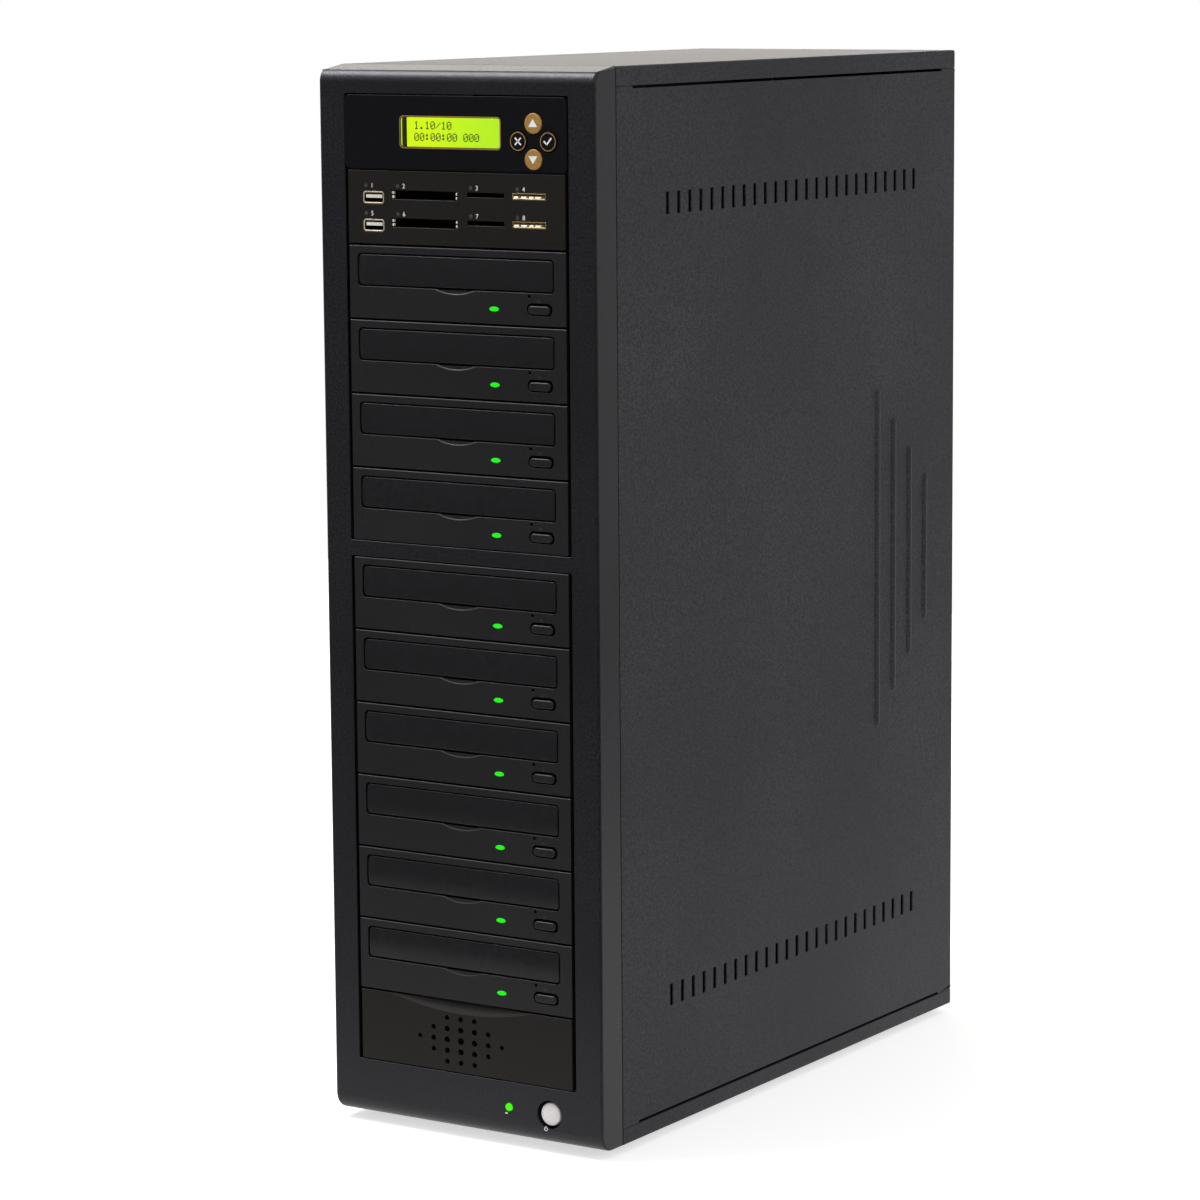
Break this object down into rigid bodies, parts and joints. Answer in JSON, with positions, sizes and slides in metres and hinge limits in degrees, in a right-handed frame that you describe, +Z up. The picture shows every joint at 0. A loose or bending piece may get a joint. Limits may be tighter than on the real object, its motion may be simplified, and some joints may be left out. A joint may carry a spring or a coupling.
{
  "type": "disc duplicator tower",
  "caption": "Free-standing black tower that copies discs: a controller with display and keys above a card reader, a stack of tray-loading drives and a vented blank panel.",
  "frame": {"origin": "middle of the footprint of the whole object, on the floor under the feet", "axes": "+X to the viewer's right when facing the drives, +Y from the front to the back, +Z up"},
  "size_m": [0.1904, 0.4202, 0.6195],
  "materials": {
    "bezel_plastic": "fine moulded grain",
    "case_paint": "textured black powder coat",
    "zinc_steel": "zinc-coated sheet",
    "screw_steel": "black oxide",
    "foot_rubber": "matt",
    "panel_plastic": "satin overlay",
    "window_clear": "clear",
    "display_lit": "backlit yellow-green",
    "circuit_board": "solder mask",
    "reader_plastic": "fine grain, brownish black",
    "port_shell": "plated",
    "socket_brass": "dull",
    "drive_plastic": "fine moulded grain",
    "tray_plastic": "smooth satin",
    "loader_plastic": "moulded",
    "lamp_green": "lit",
    "inlet_plastic": "moulded",
    "fan_plastic": "moulded",
    "cable_jacket": "flexible sleeve",
    "button_silver": "silver paint",
    "key_gold": "gold print",
    "key_dark": "satin with a gold ring"
  },
  "bodies": {
    "chassis": {"front_bezel": "bezel_plastic", "front_frame": "zinc_steel", "top_cover": "case_paint", "base_pan": "case_paint", "left_side_panel": "case_paint", "right_side_panel": "case_paint", "rear_panel": "case_paint", "bay_rails": "zinc_steel", "rubber_feet": "foot_rubber", "case_screws": "screw_steel", "controller_faceplate": "panel_plastic", "lcd_window": "window_clear", "lcd_module": "display_lit", "controller_boards": "circuit_board", "controller_carrier": "zinc_steel", "reader_carrier": "zinc_steel", "reader_faceplate": "reader_plastic", "reader_boards": "circuit_board", "usb_ports": "port_shell", "card_sockets": "socket_brass", "vent_panel": "reader_plastic", "drive_cases": "zinc_steel", "drive_bezels": "drive_plastic", "drive_loaders": "loader_plastic", "drive_lamps": "lamp_green", "power_lamp": "lamp_green", "power_switch": "loader_plastic", "psu_case": "zinc_steel", "mains_inlet": "inlet_plastic", "mains_switch_body": "inlet_plastic", "fan_frames": "fan_plastic", "cable_loom": "cable_jacket"},
    "power_button": {"power_button": "button_silver"},
    "key_up": {"key_up": "key_gold"},
    "key_down": {"key_down": "key_gold"},
    "key_cancel": {"key_cancel": "key_dark"},
    "key_confirm": {"key_confirm": "key_dark"},
    "mains_rocker": {"mains_rocker": "inlet_plastic"},
    "case_fan_rotor": {"case_fan_rotor": "fan_plastic"},
    "supply_fan_rotor": {"supply_fan_rotor": "fan_plastic"},
    "tray_01": {"tray_01": "tray_plastic"},
    "tray_02": {"tray_02": "tray_plastic"},
    "tray_03": {"tray_03": "tray_plastic"},
    "tray_04": {"tray_04": "tray_plastic"},
    "tray_05": {"tray_05": "tray_plastic"},
    "tray_06": {"tray_06": "tray_plastic"},
    "tray_07": {"tray_07": "tray_plastic"},
    "tray_08": {"tray_08": "tray_plastic"},
    "tray_09": {"tray_09": "tray_plastic"},
    "tray_10": {"tray_10": "tray_plastic"},
    "eject_button_01": {"eject_button_01": "drive_plastic"},
    "eject_button_02": {"eject_button_02": "drive_plastic"},
    "eject_button_03": {"eject_button_03": "drive_plastic"},
    "eject_button_04": {"eject_button_04": "drive_plastic"},
    "eject_button_05": {"eject_button_05": "drive_plastic"},
    "eject_button_06": {"eject_button_06": "drive_plastic"},
    "eject_button_07": {"eject_button_07": "drive_plastic"},
    "eject_button_08": {"eject_button_08": "drive_plastic"},
    "eject_button_09": {"eject_button_09": "drive_plastic"},
    "eject_button_10": {"eject_button_10": "drive_plastic"}
  },
  "joints": [
    {"name": "tray_01_slide", "type": "slide", "parent": "chassis", "child": "tray_01", "axis": [0, -1, 0], "range_m": [0, 0.135]},
    {"name": "tray_02_slide", "type": "slide", "parent": "chassis", "child": "tray_02", "axis": [0, -1, 0], "range_m": [0, 0.135]},
    {"name": "tray_03_slide", "type": "slide", "parent": "chassis", "child": "tray_03", "axis": [0, -1, 0], "range_m": [0, 0.135]},
    {"name": "tray_04_slide", "type": "slide", "parent": "chassis", "child": "tray_04", "axis": [0, -1, 0], "range_m": [0, 0.135]},
    {"name": "tray_05_slide", "type": "slide", "parent": "chassis", "child": "tray_05", "axis": [0, -1, 0], "range_m": [0, 0.135]},
    {"name": "tray_06_slide", "type": "slide", "parent": "chassis", "child": "tray_06", "axis": [0, -1, 0], "range_m": [0, 0.135]},
    {"name": "tray_07_slide", "type": "slide", "parent": "chassis", "child": "tray_07", "axis": [0, -1, 0], "range_m": [0, 0.135]},
    {"name": "tray_08_slide", "type": "slide", "parent": "chassis", "child": "tray_08", "axis": [0, -1, 0], "range_m": [0, 0.135]},
    {"name": "tray_09_slide", "type": "slide", "parent": "chassis", "child": "tray_09", "axis": [0, -1, 0], "range_m": [0, 0.135]},
    {"name": "tray_10_slide", "type": "slide", "parent": "chassis", "child": "tray_10", "axis": [0, -1, 0], "range_m": [0, 0.135]},
    {"name": "eject_01_press", "type": "slide", "parent": "chassis", "child": "eject_button_01", "axis": [0, 1, 0], "range_m": [0, 0.0008], "stiffness_N_per_m": 600},
    {"name": "eject_02_press", "type": "slide", "parent": "chassis", "child": "eject_button_02", "axis": [0, 1, 0], "range_m": [0, 0.0008], "stiffness_N_per_m": 600},
    {"name": "eject_03_press", "type": "slide", "parent": "chassis", "child": "eject_button_03", "axis": [0, 1, 0], "range_m": [0, 0.0008], "stiffness_N_per_m": 600},
    {"name": "eject_04_press", "type": "slide", "parent": "chassis", "child": "eject_button_04", "axis": [0, 1, 0], "range_m": [0, 0.0008], "stiffness_N_per_m": 600},
    {"name": "eject_05_press", "type": "slide", "parent": "chassis", "child": "eject_button_05", "axis": [0, 1, 0], "range_m": [0, 0.0008], "stiffness_N_per_m": 600},
    {"name": "eject_06_press", "type": "slide", "parent": "chassis", "child": "eject_button_06", "axis": [0, 1, 0], "range_m": [0, 0.0008], "stiffness_N_per_m": 600},
    {"name": "eject_07_press", "type": "slide", "parent": "chassis", "child": "eject_button_07", "axis": [0, 1, 0], "range_m": [0, 0.0008], "stiffness_N_per_m": 600},
    {"name": "eject_08_press", "type": "slide", "parent": "chassis", "child": "eject_button_08", "axis": [0, 1, 0], "range_m": [0, 0.0008], "stiffness_N_per_m": 600},
    {"name": "eject_09_press", "type": "slide", "parent": "chassis", "child": "eject_button_09", "axis": [0, 1, 0], "range_m": [0, 0.0008], "stiffness_N_per_m": 600},
    {"name": "eject_10_press", "type": "slide", "parent": "chassis", "child": "eject_button_10", "axis": [0, 1, 0], "range_m": [0, 0.0008], "stiffness_N_per_m": 600},
    {"name": "key_up_press", "type": "slide", "parent": "chassis", "child": "key_up", "axis": [0, 1, 0], "range_m": [0, 0.0005], "stiffness_N_per_m": 1000},
    {"name": "key_down_press", "type": "slide", "parent": "chassis", "child": "key_down", "axis": [0, 1, 0], "range_m": [0, 0.0005], "stiffness_N_per_m": 1000},
    {"name": "key_cancel_press", "type": "slide", "parent": "chassis", "child": "key_cancel", "axis": [0, 1, 0], "range_m": [0, 0.0005], "stiffness_N_per_m": 1000},
    {"name": "key_confirm_press", "type": "slide", "parent": "chassis", "child": "key_confirm", "axis": [0, 1, 0], "range_m": [0, 0.0005], "stiffness_N_per_m": 1000},
    {"name": "power_press", "type": "slide", "parent": "chassis", "child": "power_button", "axis": [0, 1, 0], "range_m": [0, 0.0012], "stiffness_N_per_m": 600},
    {"name": "mains_rocker_tip", "type": "hinge", "parent": "chassis", "child": "mains_rocker", "pos_m": [-0.05, 0.2017, 0.067], "axis": [1, 0, 0], "range_deg": [0, 16]},
    {"name": "case_fan_spin", "type": "hinge", "parent": "chassis", "child": "case_fan_rotor", "pos_m": [0, 0.1926, 0.425], "axis": [0, 1, 0], "continuous": true},
    {"name": "supply_fan_spin", "type": "hinge", "parent": "chassis", "child": "supply_fan_rotor", "pos_m": [0.03, 0.1916, 0.049], "axis": [0, 1, 0], "continuous": true}
  ]
}
